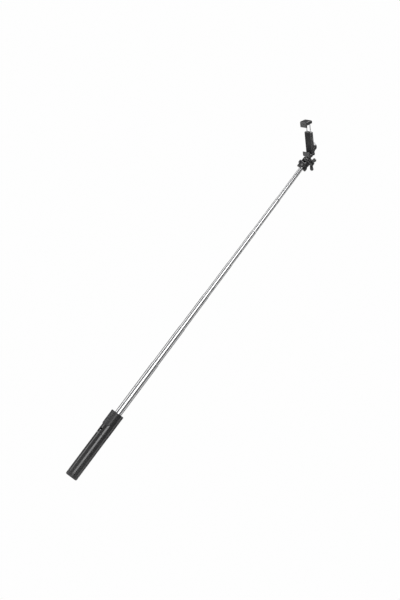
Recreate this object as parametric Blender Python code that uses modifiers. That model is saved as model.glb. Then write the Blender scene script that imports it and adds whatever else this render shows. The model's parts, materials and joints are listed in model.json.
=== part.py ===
"""Telescopic selfie stick with a tripod handle, a slide-in remote and a tilting phone clamp.

The stick stands along +Z and its origin is the middle of the grip, on the pole's own axis.
-Y is the side that faces the person who reads this model's front view, +X is to their right.
All lengths are in metres and all angles in degrees.
"""

from math import cos, radians, sin, tau

import bmesh
import bpy
from mathutils import Matrix, Vector

# --- Driving dimensions ---------------------------------------------------------------------

# Handle: three folded legs below, a hub above, on one round body.
HANDLE_LENGTH = 0.190
HANDLE_TOP = HANDLE_LENGTH / 2
HANDLE_BOTTOM = -HANDLE_LENGTH / 2
HUB_LENGTH = 0.064
HUB_RADIUS = 0.0163
LEG_RADIUS = 0.0160
LEG_COUNT = 3
FOOT_HEIGHT = 0.011
SEAM_GAP = 0.0005
FIRST_LEG_ANGLE = 223.5

# Pole: outer radius and visible length of each section, from the handle to the head.
TUBE_RADII = (0.0090, 0.0082, 0.00745, 0.00675, 0.00615, 0.00555, 0.0050)
TUBE_EXPOSED = (0.149, 0.109, 0.095, 0.097, 0.097, 0.097, 0.089)
TUBE_WALL = 0.00025
POLE_TOP = HANDLE_TOP + sum(TUBE_EXPOSED)

# Head: turn of the tilt axis about the pole, tilt of the arm, turn of the clamp on the arm.
HEAD_TURN = -26.3
ARM_TILT = 37.0
CLAMP_TURN = -26.7
TILT_AXIS_HEIGHT = POLE_TOP + 0.026
ARM_LENGTH = 0.040

# Clamp: its opening, and where its middle lies above the swivel.
CLAMP_OPENING = 0.072
CLAMP_CENTRE = 0.024
CLAMP_WIDTH = 0.020
LOWER_JAW = CLAMP_CENTRE - CLAMP_OPENING / 2
UPPER_JAW = CLAMP_CENTRE + CLAMP_OPENING / 2

# Clearance between touching pieces, of sliding tubes, and of a pin in a hole that turns.
GAP = 0.0003
RUNNING = 0.00004
TURNING = 0.00014
MERGE = 0.00001
ROUND_STEPS = 24
SMALL_STEPS = 12

# --- Materials ------------------------------------------------------------------------------

MATERIALS = {
    "satin_black": ((0.028, 0.028, 0.030), 0.38, 0.0),
    "matte_black": ((0.035, 0.035, 0.037), 0.60, 0.0),
    "remote_grey": ((0.085, 0.085, 0.088), 0.55, 0.0),
    "rubber_black": ((0.020, 0.020, 0.021), 0.85, 0.0),
    "polished_steel": ((0.78, 0.78, 0.79), 0.16, 1.0),
    "zinc_steel": ((0.60, 0.60, 0.62), 0.32, 1.0),
    "brass": ((0.72, 0.52, 0.22), 0.30, 1.0),
    "nylon_white": ((0.78, 0.77, 0.72), 0.50, 0.0),
    "board_green": ((0.03, 0.16, 0.07), 0.45, 0.0),
}


def make_material(name):
    colour, roughness, metallic = MATERIALS[name]
    material = bpy.data.materials.new(name)
    material.use_nodes = True
    shader = material.node_tree.nodes["Principled BSDF"]
    shader.inputs["Base Color"].default_value = (*colour, 1.0)
    shader.inputs["Roughness"].default_value = roughness
    shader.inputs["Metallic"].default_value = metallic
    material.diffuse_color = (*colour, 1.0)
    return material


# --- Scene and collections ------------------------------------------------------------------

for old in list(bpy.data.objects):
    bpy.data.objects.remove(old, do_unlink=True)

parts = bpy.data.collections.new("selfie_stick")
cutters = bpy.data.collections.new("cutters")
for collection in (parts, cutters):
    bpy.context.scene.collection.children.link(collection)
materials = {name: make_material(name) for name in MATERIALS}


def frame(name, parent=None, location=(0, 0, 0), rotation=(0, 0, 0)):
    """An empty that carries the pieces of one moving group on its joint's axis."""
    empty = bpy.data.objects.new(name, None)
    empty.empty_display_size = 0.01
    empty.parent = parent
    empty.location = location
    empty.rotation_euler = [radians(angle) for angle in rotation]
    parts.objects.link(empty)
    return empty


# --- Shapes ---------------------------------------------------------------------------------

def add_object(name, mesh, parent):
    piece = bpy.data.objects.new(name, mesh)
    piece.parent = parent
    cutters.objects.link(piece)
    piece.hide_render = True
    piece.display_type = "WIRE"
    return piece


def finish(piece, material, smooth=30):
    """Turn a shape into a named part of the stick."""
    cutters.objects.unlink(piece)
    parts.objects.link(piece)
    piece.hide_render = False
    piece.display_type = "TEXTURED"
    piece.data.materials.clear()
    piece.data.materials.append(materials[material])
    piece.data.shade_smooth()
    piece.data.set_sharp_from_angle(angle=radians(smooth))
    return piece


def box(name, low, high, parent=None):
    mesh = bpy.data.meshes.new(name)
    builder = bmesh.new()
    bmesh.ops.create_cube(builder, size=1.0)
    low, high = Vector(low), Vector(high)
    bmesh.ops.scale(builder, vec=high - low, verts=builder.verts)
    bmesh.ops.translate(builder, vec=(low + high) / 2, verts=builder.verts)
    builder.to_mesh(mesh)
    builder.free()
    return add_object(name, mesh, parent)


AXIS_TURN = {
    "X": Matrix(((0, 0, 1), (1, 0, 0), (0, 1, 0))),
    "Y": Matrix(((1, 0, 0), (0, 0, -1), (0, 1, 0))),
    "Z": Matrix.Identity(3),
}


def along(axis, distance):
    return Vector([distance if letter == axis else 0.0 for letter in "XYZ"])


def rod(name, axis, radius, start, end, centre=(0, 0, 0), parent=None, steps=SMALL_STEPS):
    """A plain cylinder along an axis, from start to end."""
    mesh = bpy.data.meshes.new(name)
    builder = bmesh.new()
    bmesh.ops.create_cone(
        builder, cap_ends=True, segments=steps, radius1=radius, radius2=radius, depth=end - start
    )
    bmesh.ops.rotate(builder, verts=builder.verts, matrix=AXIS_TURN[axis])
    middle = Vector(centre) + along(axis, (start + end) / 2)
    bmesh.ops.translate(builder, vec=middle, verts=builder.verts)
    builder.to_mesh(mesh)
    builder.free()
    return add_object(name, mesh, parent)


def turned(name, profile, parent=None, steps=ROUND_STEPS, closed=True):
    """A profile of (radius, height) points, outer side first and downwards, turned about Z."""
    mesh = bpy.data.meshes.new(name)
    points = [(radius, 0.0, height) for radius, height in profile]
    edges = [(i, i + 1) for i in range(len(points) - 1)]
    if closed:
        edges.append((len(points) - 1, 0))
    mesh.from_pydata(points, edges, [])
    piece = add_object(name, mesh, parent)
    screw = piece.modifiers.new("turn", "SCREW")
    screw.steps = steps
    screw.render_steps = steps
    screw.use_merge_vertices = True
    screw.merge_threshold = MERGE
    return piece


def prism(name, outline, axis, low, high, parent=None):
    """A flat outline extruded along an axis: (y, z) points on X, (x, z) on Y, (x, y) on Z."""
    curve = bpy.data.curves.new(name, "CURVE")
    curve.dimensions = "2D"
    curve.fill_mode = "BOTH"
    curve.extrude = (high - low) / 2
    spline = curve.splines.new("POLY")
    spline.points.add(len(outline) - 1)
    for point, (u, v) in zip(spline.points, outline):
        point.co = (u, v, 0.0, 1.0)
    spline.use_cyclic_u = True
    flat = add_object(name + "_outline", curve, None)
    mesh = mesh_of_curve(flat, name)
    mesh.transform(AXIS_TURN[axis].to_4x4())
    mesh.transform(Matrix.Translation(along(axis, (low + high) / 2)))
    return add_object(name, mesh, parent)


def mesh_of_curve(curve_object, name):
    """The closed mesh of a curve object, which is removed."""
    depsgraph = bpy.context.evaluated_depsgraph_get()
    mesh = bpy.data.meshes.new_from_object(curve_object.evaluated_get(depsgraph))
    mesh.name = name
    builder = bmesh.new()
    builder.from_mesh(mesh)
    bmesh.ops.remove_doubles(builder, verts=builder.verts, dist=MERGE)
    bmesh.ops.recalc_face_normals(builder, faces=builder.faces)
    builder.to_mesh(mesh)
    builder.free()
    bpy.data.objects.remove(curve_object, do_unlink=True)
    return mesh


def combine(piece, other, operation):
    boolean = piece.modifiers.new(operation.lower(), "BOOLEAN")
    boolean.operation = operation
    boolean.object = other
    return piece


def cut(piece, *tools):
    for tool in tools:
        combine(piece, tool, "DIFFERENCE")
    return piece


def join(piece, *others):
    for other in others:
        combine(piece, other, "UNION")
    return piece


def bevel(piece, width, segments=2, angle=40):
    modifier = piece.modifiers.new("bevel", "BEVEL")
    modifier.width = width
    modifier.segments = segments
    modifier.limit_method = "ANGLE"
    modifier.angle_limit = radians(angle)
    return piece


def arc(centre, radius, start, end, steps):
    """Points on an arc, from the start angle to the end angle."""
    points = []
    for step in range(steps + 1):
        angle = radians(start + (end - start) * step / steps)
        points.append((centre[0] + radius * cos(angle), centre[1] + radius * sin(angle)))
    return points


def sector(inner, outer, half_angle, steps=10):
    """The outline of a ring's sector about the +X direction."""
    outside = arc((0, 0), outer, -half_angle, half_angle, steps)
    inside = arc((0, 0), inner, half_angle, -half_angle, steps)
    return outside + inside


def ring_profile(inner, outer, low, high, round_edge=0.0):
    """A ring's section with its outer edges rounded off by a short chamfer."""
    if round_edge == 0.0:
        return [(outer, high), (outer, low), (inner, low), (inner, high)]
    return [
        (outer - round_edge, high),
        (outer, high - round_edge),
        (outer, low + round_edge),
        (outer - round_edge, low),
        (inner, low),
        (inner, high),
    ]


# --- Handle hub -----------------------------------------------------------------------------

HUB_BOTTOM = HANDLE_TOP - HUB_LENGTH
HUB_BORE = 0.0106
BUSH_LENGTH = 0.019
BUSH_RADIUS = 0.0112
BUSH_SEAT_BOTTOM = HANDLE_TOP - BUSH_LENGTH - 0.0007

HINGE_RADIUS = 0.0136
HINGE_HEIGHT = HUB_BOTTOM + 0.0080
KNUCKLE_RADIUS = 0.0023
KNUCKLE_WIDTH = 0.0064
SLOT_WIDTH = KNUCKLE_WIDTH + 2 * GAP
SLOT_TOP = HINGE_HEIGHT + KNUCKLE_RADIUS + 0.0030
SLEEVE_OUTER = 0.01045
SLEEVE_INNER = 0.00995
PIN_RADIUS = 0.0011
PIN_LENGTH = 0.0120

REMOTE_LENGTH = 0.0405
REMOTE_WIDTH = 0.026
REMOTE_OUTER = 0.0180
REMOTE_INNER = 0.0146
REMOTE_CORNER = 0.0085
BELLY_WIDTH = 0.0164
BELLY_BACK = 0.0125
BELLY_LENGTH = 0.035
REMOTE_BOTTOM = HANDLE_TOP - REMOTE_LENGTH
BELLY_BOTTOM = HANDLE_TOP - BELLY_LENGTH - 0.002


def shield_outline(grow):
    """The remote's outline seen from its front: flat on top, two large round lower corners."""
    half = REMOTE_WIDTH / 2 + grow
    top = HANDLE_TOP + (0.002 if grow else 0.0)
    bottom = REMOTE_BOTTOM - grow
    radius = REMOTE_CORNER + grow
    right = arc((half - radius, bottom + radius), radius, 0, -90, 5)
    left = arc((radius - half, bottom + radius), radius, -90, -180, 5)
    return [(half, top)] + right + left + [(-half, top)]


def remote_blank(name, grow, parent):
    """The remote's curved slab, grown on every side where it cuts the hub's recess."""
    slab = prism(
        name + "_slab",
        sector(REMOTE_INNER - grow, REMOTE_OUTER + 10 * grow, 62, 16),
        "Z",
        REMOTE_BOTTOM - 0.003,
        HANDLE_TOP + (0.002 if grow else 0.0),
        parent,
    )
    shield = prism(name + "_shield", shield_outline(grow), "X", 0.0, 0.030, parent)
    return combine(slab, shield, "INTERSECT")


def belly_box(name, grow, parent):
    """The remote's thick middle; its recess is open at the top so that it can slide out."""
    half = BELLY_WIDTH / 2 + grow
    low = (BELLY_BACK - grow, -half, BELLY_BOTTOM - grow)
    high = (REMOTE_INNER + 0.001, half, HANDLE_TOP + (0.002 if grow else -0.002))
    return box(name, low, high, parent)


def leg_angle(number):
    return FIRST_LEG_ANGLE + 360 / LEG_COUNT * number


def make_hub():
    profile = [
        (HUB_RADIUS - 0.0010, HANDLE_TOP),
        (HUB_RADIUS - 0.0003, HANDLE_TOP - 0.0003),
        (HUB_RADIUS, HANDLE_TOP - 0.0010),
        (HUB_RADIUS, HUB_BOTTOM + 0.0003),
        (HUB_RADIUS - 0.0003, HUB_BOTTOM),
        (HUB_BORE, HUB_BOTTOM),
        (HUB_BORE, BUSH_SEAT_BOTTOM),
        (BUSH_RADIUS + GAP / 2, BUSH_SEAT_BOTTOM),
        (BUSH_RADIUS + GAP / 2, HANDLE_TOP),
    ]
    hub = turned("hub_body", profile, steps=36)
    remote_side = frame("remote_recess_frame", rotation=(0, 0, FIRST_LEG_ANGLE))
    cut(hub, remote_blank("recess", GAP, remote_side))
    cut(hub, belly_box("belly_recess", GAP, remote_side))
    for number in range(LEG_COUNT):
        side = frame(f"hinge_slot_frame_{number + 1}", rotation=(0, 0, leg_angle(number)))
        slot = box(
            f"hinge_slot_{number + 1}",
            (0.0095, -SLOT_WIDTH / 2, HUB_BOTTOM - 0.002),
            (0.0200, SLOT_WIDTH / 2, SLOT_TOP),
            side,
        )
        hole = rod(
            f"pin_hole_{number + 1}",
            "Y",
            PIN_RADIUS + GAP / 3,
            -PIN_LENGTH / 2 - GAP / 2,
            PIN_LENGTH / 2 + GAP / 2,
            (HINGE_RADIUS, 0, HINGE_HEIGHT),
            side,
        )
        cut(hub, slot, hole)
    return finish(hub, "satin_black")


def make_pole_guides():
    """The bush in the hub's mouth and the inner sleeve that the first tube slides down in."""
    bush_bottom = HANDLE_TOP - BUSH_LENGTH
    inner = TUBE_RADII[0] + RUNNING
    bush = turned("hub_bush", ring_profile(inner, BUSH_RADIUS, bush_bottom, HANDLE_TOP - 0.0004))
    finish(bush, "matte_black")

    low = HANDLE_BOTTOM + FOOT_HEIGHT + 0.0005
    high = bush_bottom - GAP
    sleeve = turned("inner_sleeve", ring_profile(SLEEVE_INNER, SLEEVE_OUTER, low, high))
    finish(sleeve, "matte_black")


# --- Legs -----------------------------------------------------------------------------------

LEG_INNER = 0.0109
LEG_HALF_ANGLE = 59.3
LEG_TOP = HUB_BOTTOM - SEAM_GAP
LEG_BOTTOM = HANDLE_BOTTOM + FOOT_HEIGHT + GAP
LEG_SKIN = 0.0022
PEG_DEPTH = 0.0060
PEG_INNER = 0.0118
PEG_OUTER = 0.0146
PEG_HALF_ANGLE = 50
FOOT_INNER = 0.0030
FOOT_CORNER = 0.0035


def knuckle_outline():
    """Side view of a leg's hinge tab: a flush foot, a step inwards, then the eye round the pin."""
    foot = LEG_TOP - 0.003
    front = LEG_RADIUS + 0.0001
    step = LEG_TOP + 0.0038
    inner = HINGE_RADIUS - KNUCKLE_RADIUS
    eye = arc((HINGE_RADIUS, HINGE_HEIGHT), KNUCKLE_RADIUS, -30, 180, 9)
    flush = [(front, foot), (front, step - 0.0010), (front - 0.0009, step)]
    return flush + [(HINGE_RADIUS + 0.0012, step + 0.0004)] + eye + [(inner + 0.0002, foot)]


def make_leg(number):
    angle = leg_angle(number)
    side = frame(
        f"leg_frame_{number + 1}",
        location=(
            HINGE_RADIUS * cos(radians(angle)),
            HINGE_RADIUS * sin(radians(angle)),
            HINGE_HEIGHT,
        ),
        rotation=(0, 0, angle),
    )
    leg = prism(
        f"leg_{number + 1}",
        sector(LEG_INNER, LEG_RADIUS, LEG_HALF_ANGLE, 12),
        "Z",
        LEG_BOTTOM,
        LEG_TOP,
        side,
    )
    pocket = prism(
        f"leg_pocket_{number + 1}",
        sector(LEG_INNER - 0.002, LEG_RADIUS - LEG_SKIN, LEG_HALF_ANGLE - 9, 10),
        "Z",
        LEG_BOTTOM + 0.006,
        LEG_TOP - 0.014,
        side,
    )
    peg = prism(
        f"leg_peg_{number + 1}",
        sector(PEG_INNER, PEG_OUTER, PEG_HALF_ANGLE, 8),
        "Z",
        LEG_BOTTOM - PEG_DEPTH,
        LEG_BOTTOM + 0.001,
        side,
    )
    knuckle = prism(
        f"leg_knuckle_{number + 1}",
        knuckle_outline(),
        "Y",
        -KNUCKLE_WIDTH / 2,
        KNUCKLE_WIDTH / 2,
        side,
    )
    hole = rod(
        f"leg_eye_{number + 1}",
        "Y",
        PIN_RADIUS + GAP / 3,
        -KNUCKLE_WIDTH,
        KNUCKLE_WIDTH,
        (HINGE_RADIUS, 0, HINGE_HEIGHT),
        side,
    )
    cut(join(cut(leg, pocket), peg, knuckle), hole)
    finish(leg, "satin_black")

    pin = rod(
        f"leg_hinge_pin_{number + 1}",
        "Y",
        PIN_RADIUS,
        -PIN_LENGTH / 2,
        PIN_LENGTH / 2,
        (HINGE_RADIUS, 0, HINGE_HEIGHT),
        side,
    )
    finish(pin, "zinc_steel")
    make_foot(number, side)
    # The shapes above are drawn from the pole's axis: set them back from the hinge's frame.
    for piece in side.children:
        piece.location -= Vector((HINGE_RADIUS, 0, HINGE_HEIGHT))


def make_foot(number, side):
    """A rubber cap on a leg's end: a third of a round foot with a socket for the leg's peg."""
    top = HANDLE_BOTTOM + FOOT_HEIGHT
    corner = arc(
        (LEG_RADIUS - FOOT_CORNER, HANDLE_BOTTOM + FOOT_CORNER), FOOT_CORNER, 0, -90, 4
    )
    profile = [(LEG_RADIUS, top)] + corner + [(FOOT_INNER, HANDLE_BOTTOM), (FOOT_INNER, top)]
    foot = turned(f"foot_cap_{number + 1}", profile, side, steps=36)
    wedge = prism(
        f"foot_wedge_{number + 1}",
        [(0, 0)] + arc((0, 0), 0.03, -LEG_HALF_ANGLE, LEG_HALF_ANGLE, 2),
        "Z",
        HANDLE_BOTTOM - 0.005,
        top + 0.005,
        side,
    )
    wedge.location.x = 0.0002
    socket = prism(
        f"foot_socket_{number + 1}",
        sector(PEG_INNER - GAP, PEG_OUTER + GAP, PEG_HALF_ANGLE + 1.5, 8),
        "Z",
        LEG_BOTTOM - PEG_DEPTH - GAP,
        top + 0.001,
        side,
    )
    cut(combine(foot, wedge, "INTERSECT"), socket)
    finish(foot, "rubber_black")


# --- Remote ---------------------------------------------------------------------------------

POCKET_WIDTH = 0.0130
POCKET_FRONT = 0.0158
REMOTE_BACK_THICK = 0.0006
BUTTON_RADIUS = 0.0040
BUTTON_HEIGHT = HANDLE_TOP - 0.0190
BUTTON_PROUD = 0.0003
BUTTON_TRAVEL = 0.0004
CELL_RADIUS = 0.00615
CELL_THICK = 0.0016
BOARD_THICK = 0.0004


def make_remote():
    side = frame("remote_frame", rotation=(0, 0, FIRST_LEG_ANGLE))
    casing = remote_blank("remote_casing", 0.0, side)
    casing.name = "remote_casing"
    half = POCKET_WIDTH / 2
    pocket_low = BELLY_BOTTOM + 0.0015
    pocket_high = HANDLE_TOP - 0.0035
    pocket = box(
        "remote_pocket",
        (BELLY_BACK - 0.001, -half, pocket_low),
        (POCKET_FRONT, half, pocket_high),
        side,
    )
    button_hole = rod(
        "button_hole",
        "X",
        BUTTON_RADIUS + 0.00025,
        0.0150,
        0.0200,
        (0, 0, BUTTON_HEIGHT),
        side,
        20,
    )
    join(casing, belly_box("remote_belly", 0.0, side))
    cut(casing, pocket, button_hole)
    finish(casing, "remote_grey")

    back = box(
        "remote_back_cover",
        (BELLY_BACK, -half + GAP / 2, pocket_low + GAP / 2),
        (BELLY_BACK + REMOTE_BACK_THICK, half - GAP / 2, pocket_high - GAP / 2),
        side,
    )
    finish(back, "matte_black")

    cell_start = BELLY_BACK + REMOTE_BACK_THICK + GAP / 2
    cell_height = BUTTON_HEIGHT - 0.0030
    cell = rod(
        "remote_coin_cell",
        "X",
        CELL_RADIUS,
        cell_start,
        cell_start + CELL_THICK,
        (0, 0, cell_height),
        side,
        20,
    )
    finish(cell, "zinc_steel")

    board_start = cell_start + CELL_THICK + GAP / 2
    board = box(
        "remote_circuit_board",
        (board_start, -half + GAP, pocket_low + GAP),
        (board_start + BOARD_THICK, half - GAP, pocket_high - GAP),
        side,
    )
    finish(board, "board_green")

    button_start = board_start + BOARD_THICK + BUTTON_TRAVEL + GAP / 2
    button = rod(
        "remote_button",
        "X",
        BUTTON_RADIUS,
        button_start,
        REMOTE_OUTER + BUTTON_PROUD,
        (0, 0, BUTTON_HEIGHT),
        side,
        20,
    )
    bevel(button, 0.0004)
    finish(button, "remote_grey")


# --- Pole -----------------------------------------------------------------------------------

TUBE_OVERLAP = 0.0175
SLIDE_BUSH_LENGTH = 0.016
LIP_HEIGHT = 0.0008
LIP_ROLL = 0.0002
FIRST_TUBE_OVERLAP = 0.024
STOP_RING_LENGTH = 0.004
STOP_RING_RADIUS = SLEEVE_INNER - 2 * RUNNING
SOCKET_DEPTH = 0.016


def tube_spans():
    """The lower and upper end of each section with the pole drawn out."""
    spans = []
    base = HANDLE_TOP
    for number, exposed in enumerate(TUBE_EXPOSED):
        overlap = FIRST_TUBE_OVERLAP if number == 0 else TUBE_OVERLAP
        tail = SOCKET_DEPTH if number == len(TUBE_EXPOSED) - 1 else 0.0
        spans.append((base - overlap, base + exposed + tail))
        base += exposed
    return spans


def make_tube(number, low, high):
    """A thin steel tube whose rolled top lip guides the next section."""
    outer = TUBE_RADII[number]
    inner = outer - TUBE_WALL
    if number == len(TUBE_RADII) - 1:
        profile = ring_profile(inner, outer, low, high)
    else:
        lip = TUBE_RADII[number + 1] + RUNNING
        profile = [
            (outer - LIP_ROLL, high),
            (outer, high - LIP_ROLL),
            (outer, low),
            (inner, low),
            (inner, high - LIP_HEIGHT),
            (lip, high - LIP_HEIGHT),
            (lip, high),
        ]
    finish(turned(f"pole_tube_{number + 1}", profile), "polished_steel")


def make_slide_bush(number, low):
    """The split nylon sleeve on a section's lower end, which rubs inside the tube below."""
    inner = TUBE_RADII[number] + RUNNING
    outer = TUBE_RADII[number - 1] - TUBE_WALL - RUNNING
    profile = ring_profile(inner, outer, low, low + SLIDE_BUSH_LENGTH)
    finish(turned(f"slide_bush_{number + 1}", profile), "nylon_white")


def make_pole():
    for number, (low, high) in enumerate(tube_spans()):
        make_tube(number, low, high)
        if number == 0:
            inner = TUBE_RADII[0] + RUNNING
            ring = ring_profile(inner, STOP_RING_RADIUS, low, low + STOP_RING_LENGTH)
            finish(turned("pole_stop_ring", ring), "nylon_white")
        else:
            make_slide_bush(number, low)


# --- Head socket, tilt bolt and wing knob ---------------------------------------------------

SOCKET_RADIUS = 0.0122
SOCKET_WAIST = 0.0100
COLLAR_TOP = -0.0150
EAR_INNER = 0.0052
EAR_OUTER = 0.0086
EAR_RADIUS = 0.0080
BLOCK_TOP = -0.0080
BLOCK_LOW = -0.0175
BLOCK_LEFT = -0.0135
BLOCK_RIGHT = 0.0082
BLOCK_HALF_DEPTH = 0.0085
BOLT_RADIUS = 0.0024
BOLT_HEAD_RADIUS = 0.0046
BOLT_HEAD_THICK = 0.0032
WASHER_THICK = 0.0006
KNOB_START = EAR_OUTER + 0.0014
KNOB_LENGTH = 0.0090
KNOB_HUB_RADIUS = 0.0066
WING_REACH = 0.0132
WING_TIP = 0.0046
WING_THICK = 0.0036
WING_FLARE = 0.0050
WING_ANGLE = 38.0


def ear_outline():
    """Side view of the socket's ears: straight sides up to a round top about the tilt axis."""
    over = arc((0, 0), EAR_RADIUS, 0, 180, 12)
    foot = BLOCK_TOP - 0.004
    return [(EAR_RADIUS, foot)] + over + [(-EAR_RADIUS, foot)]


def make_socket(yoke):
    bottom = -(TILT_AXIS_HEIGHT - POLE_TOP)
    profile = [
        (SOCKET_WAIST, COLLAR_TOP + 0.003),
        (SOCKET_WAIST, COLLAR_TOP + 0.001),
        (SOCKET_RADIUS, COLLAR_TOP - 0.0035),
        (SOCKET_RADIUS, bottom + 0.0025),
        (SOCKET_RADIUS - 0.0008, bottom + 0.0008),
        (SOCKET_RADIUS - 0.0026, bottom),
        (0.0, bottom),
        (0.0, COLLAR_TOP + 0.003),
    ]
    socket = turned("head_socket", profile[-1:] + profile[:-1], yoke, 28, closed=False)
    block = box(
        "socket_block",
        (BLOCK_LEFT, -BLOCK_HALF_DEPTH, BLOCK_LOW),
        (BLOCK_RIGHT, BLOCK_HALF_DEPTH, BLOCK_TOP),
        yoke,
    )
    bevel(block, 0.0026, 3)
    join(socket, block)
    for name, low, high in (
        ("socket_ear_left", -EAR_OUTER, -EAR_INNER),
        ("socket_ear_right", EAR_INNER, EAR_OUTER),
    ):
        join(socket, prism(name, ear_outline(), "X", low, high, yoke))
    bore = rod(
        "socket_bore",
        "Z",
        TUBE_RADII[-1] + GAP / 2,
        bottom - 0.002,
        bottom + SOCKET_DEPTH + GAP,
        parent=yoke,
        steps=ROUND_STEPS,
    )
    arch = rod("socket_arch", "Y", 0.0066, -0.02, 0.02, (0, 0, bottom - 0.0022), yoke, 20)
    arch.rotation_euler = (0, 0, radians(-HEAD_TURN))
    bolt_hole = rod("bolt_hole", "X", BOLT_RADIUS + GAP / 2, -0.02, 0.02, parent=yoke)
    head_recess = rod(
        "bolt_head_recess",
        "X",
        BOLT_HEAD_RADIUS + GAP,
        -0.02,
        -EAR_OUTER + 0.0018,
        parent=yoke,
        steps=6,
    )
    cut(socket, bore, arch, head_recess, bolt_hole)
    finish(socket, "satin_black")


def make_tilt_bolt(yoke):
    head_end = -EAR_OUTER + 0.0018 - GAP
    bolt = rod("tilt_bolt", "X", BOLT_RADIUS, -EAR_OUTER, KNOB_START + 0.0068, parent=yoke)
    head = rod(
        "tilt_bolt_head",
        "X",
        BOLT_HEAD_RADIUS,
        head_end - BOLT_HEAD_THICK,
        head_end,
        parent=yoke,
        steps=6,
    )
    finish(join(bolt, head), "zinc_steel")

    for name, start in (("tilt_washer_left", -EAR_INNER + 0.0002), ("tilt_washer_right", 0.0044)):
        washer = rod(name, "X", 0.0065, start, start + WASHER_THICK, parent=yoke, steps=20)
        cut(washer, rod(name + "_hole", "X", BOLT_RADIUS + GAP / 2, -0.02, 0.02, parent=yoke))
        finish(washer, "nylon_white")
    start = EAR_OUTER + GAP
    washer = rod("knob_washer", "X", 0.0055, start, start + 0.0007, parent=yoke, steps=20)
    cut(washer, rod("knob_washer_hole", "X", BOLT_RADIUS + GAP / 2, -0.02, 0.02, parent=yoke))
    finish(washer, "zinc_steel")


def wing_outline():
    """One wing seen along its thickness: from the hub out to a round tip that leans outwards.

    The points are (distance from the axis, height along the axis).
    """
    tip = (WING_REACH, KNOB_LENGTH + WING_FLARE - WING_TIP)
    round_tip = arc(tip, WING_TIP, -60, 150, 9)
    return [(0.0030, 0.0016), (0.0075, 0.0022)] + round_tip + [(0.0030, KNOB_LENGTH - 0.0008)]


def make_knob(yoke):
    """Wing knob, its threaded insert and the group that turns on the bolt."""
    turn = frame("knob_frame", yoke, (KNOB_START, 0, 0), (0, 90, 0))
    spin = frame("wing_frame", turn, (0, 0, 0), (0, 0, WING_ANGLE))
    top = KNOB_LENGTH
    profile = [
        (0.0, top),
        (KNOB_HUB_RADIUS - 0.0024, top),
        (KNOB_HUB_RADIUS - 0.0016, top - 0.0008),
        (KNOB_HUB_RADIUS, 0.0020),
        (KNOB_HUB_RADIUS, 0.0),
        (0.0, 0.0),
    ]
    knob = turned("tilt_wing_knob", profile, spin, 24, closed=False)
    for name, side in (("wing_a", 0), ("wing_b", 180)):
        wing_side = frame(name + "_frame", spin, (0, 0, 0), (0, 0, side))
        wing = prism(name, wing_outline(), "Y", -WING_THICK / 2, WING_THICK / 2, wing_side)
        join(knob, bevel(wing, 0.0010, 2))
    cut(knob, rod("knob_bore", "Z", 0.0036 + GAP / 3, -0.001, 0.0076, parent=spin, steps=6))
    finish(knob, "satin_black")

    insert = rod("knob_threaded_insert", "Z", 0.0036, 0.0002, 0.0072, parent=spin, steps=6)
    cut(insert, rod("insert_thread", "Z", BOLT_RADIUS + TURNING, -0.001, 0.010, parent=spin))
    finish(insert, "brass")


# --- Tilt arm and swivel --------------------------------------------------------------------

KNUCKLE_HALF = 0.0042
ARM_KNUCKLE_RADIUS = 0.0075
ARM_THICK = 0.0065
ARM_HALF_WIDTH = 0.0065
NECK_HALF_WIDTH = KNUCKLE_HALF - 0.0002
ARM_SHOULDER = 0.0105
SWIVEL_RADIUS = 0.0100
SWIVEL_BOLT_RADIUS = 0.0020
SWIVEL_WASHER = 0.0008
SWIVEL_HEAD_SINK = 0.0025
HOUSING_BACK = -(SWIVEL_WASHER + 2 * GAP)


def make_arm(tilt):
    arm = rod(
        "tilt_arm",
        "X",
        ARM_KNUCKLE_RADIUS,
        -KNUCKLE_HALF,
        KNUCKLE_HALF,
        parent=tilt,
        steps=ROUND_STEPS,
    )
    plate_outline = (
        [(-NECK_HALF_WIDTH, 0.0), (NECK_HALF_WIDTH, 0.0), (NECK_HALF_WIDTH, ARM_SHOULDER)]
        + [(ARM_HALF_WIDTH, ARM_SHOULDER + 0.0015)]
        + arc((0, ARM_LENGTH), SWIVEL_RADIUS, -35, 215, 16)
        + [(-ARM_HALF_WIDTH, ARM_SHOULDER + 0.0015), (-NECK_HALF_WIDTH, ARM_SHOULDER)]
    )
    plate = prism("arm_plate", plate_outline, "Y", 0.0, ARM_THICK, tilt)
    bevel(plate, 0.0008, 2, 60)
    tilt_hole = rod("arm_tilt_hole", "X", BOLT_RADIUS + TURNING, -0.02, 0.02, parent=tilt)
    swivel_hole = rod(
        "arm_swivel_hole",
        "Y",
        SWIVEL_BOLT_RADIUS + TURNING,
        -0.02,
        0.02,
        (0, 0, ARM_LENGTH),
        tilt,
    )
    recess_floor = ARM_THICK - SWIVEL_HEAD_SINK
    head_recess = rod(
        "arm_head_recess", "Y", 0.0042, recess_floor, 0.02, (0, 0, ARM_LENGTH), tilt, 20
    )
    cut(join(arm, plate), tilt_hole, swivel_hole, head_recess)
    finish(arm, "satin_black")


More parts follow.
